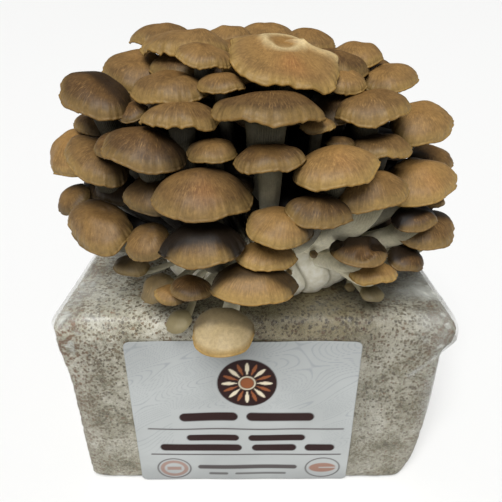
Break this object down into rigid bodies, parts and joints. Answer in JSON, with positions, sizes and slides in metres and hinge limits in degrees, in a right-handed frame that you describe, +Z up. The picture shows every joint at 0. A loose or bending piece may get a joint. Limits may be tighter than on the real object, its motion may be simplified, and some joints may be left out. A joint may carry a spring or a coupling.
{
  "type": "oyster mushroom grow kit",
  "caption": "Clear plastic grow bag holding an upright block of spawned sawdust, with a plain paper label in front and a dense bunch of brown oyster mushrooms growing from its open top.",
  "frame": {"origin": "middle of the bag's flat underside, on the surface that the kit stands on", "axes": "+Z up out of the bag towards the mushrooms, -Y out of the labelled front, +X to the right as seen from the front"},
  "size_m": [0.1985, 0.1522, 0.2385],
  "materials": {
    "substrate": "matte, fibrous",
    "film": "clear soft film, glossy, milky where it stands off the block",
    "label_paper": "coated, semi-matte",
    "stem_flesh": "matte, fibrous",
    "cap_flesh": "smooth skin, satin"
  },
  "bodies": {
    "root": {"substrate_block": "substrate", "grow_bag": "film", "label": "label_paper", "stem_base": "stem_flesh", "mushroom_back_1": "cap_flesh", "mushroom_back_10": "cap_flesh", "mushroom_back_2": "cap_flesh", "mushroom_back_3": "cap_flesh", "mushroom_back_4": "cap_flesh", "mushroom_back_5": "cap_flesh", "mushroom_back_6": "cap_flesh", "mushroom_back_7": "cap_flesh", "mushroom_back_8": "cap_flesh", "mushroom_back_9": "cap_flesh", "mushroom_crown_1": "cap_flesh", "mushroom_crown_2": "cap_flesh", "mushroom_crown_3": "cap_flesh", "mushroom_crown_4": "cap_flesh", "mushroom_crown_5": "cap_flesh", "mushroom_crown_6": "cap_flesh", "mushroom_crown_7": "cap_flesh", "mushroom_crown_8": "cap_flesh", "mushroom_crown_9": "cap_flesh", "mushroom_front_1": "cap_flesh", "mushroom_front_10": "cap_flesh", "mushroom_front_2": "cap_flesh", "mushroom_front_3": "cap_flesh", "mushroom_front_4": "cap_flesh", "mushroom_front_5": "cap_flesh", "mushroom_front_6": "cap_flesh", "mushroom_front_7": "cap_flesh", "mushroom_front_8": "cap_flesh", "mushroom_front_9": "cap_flesh", "mushroom_left_1": "cap_flesh", "mushroom_left_10": "cap_flesh", "mushroom_left_11": "cap_flesh", "mushroom_left_2": "cap_flesh", "mushroom_left_3": "cap_flesh", "mushroom_left_4": "cap_flesh", "mushroom_left_5": "cap_flesh", "mushroom_left_6": "cap_flesh", "mushroom_left_7": "cap_flesh", "mushroom_left_8": "cap_flesh", "mushroom_left_9": "cap_flesh", "mushroom_low_1": "cap_flesh", "mushroom_low_2": "cap_flesh", "mushroom_low_3": "cap_flesh", "mushroom_low_4": "cap_flesh", "mushroom_right_1": "cap_flesh", "mushroom_right_10": "cap_flesh", "mushroom_right_11": "cap_flesh", "mushroom_right_12": "cap_flesh", "mushroom_right_2": "cap_flesh", "mushroom_right_3": "cap_flesh", "mushroom_right_4": "cap_flesh", "mushroom_right_5": "cap_flesh", "mushroom_right_6": "cap_flesh", "mushroom_right_7": "cap_flesh", "mushroom_right_8": "cap_flesh", "mushroom_right_9": "cap_flesh"}
  },
  "joints": []
}
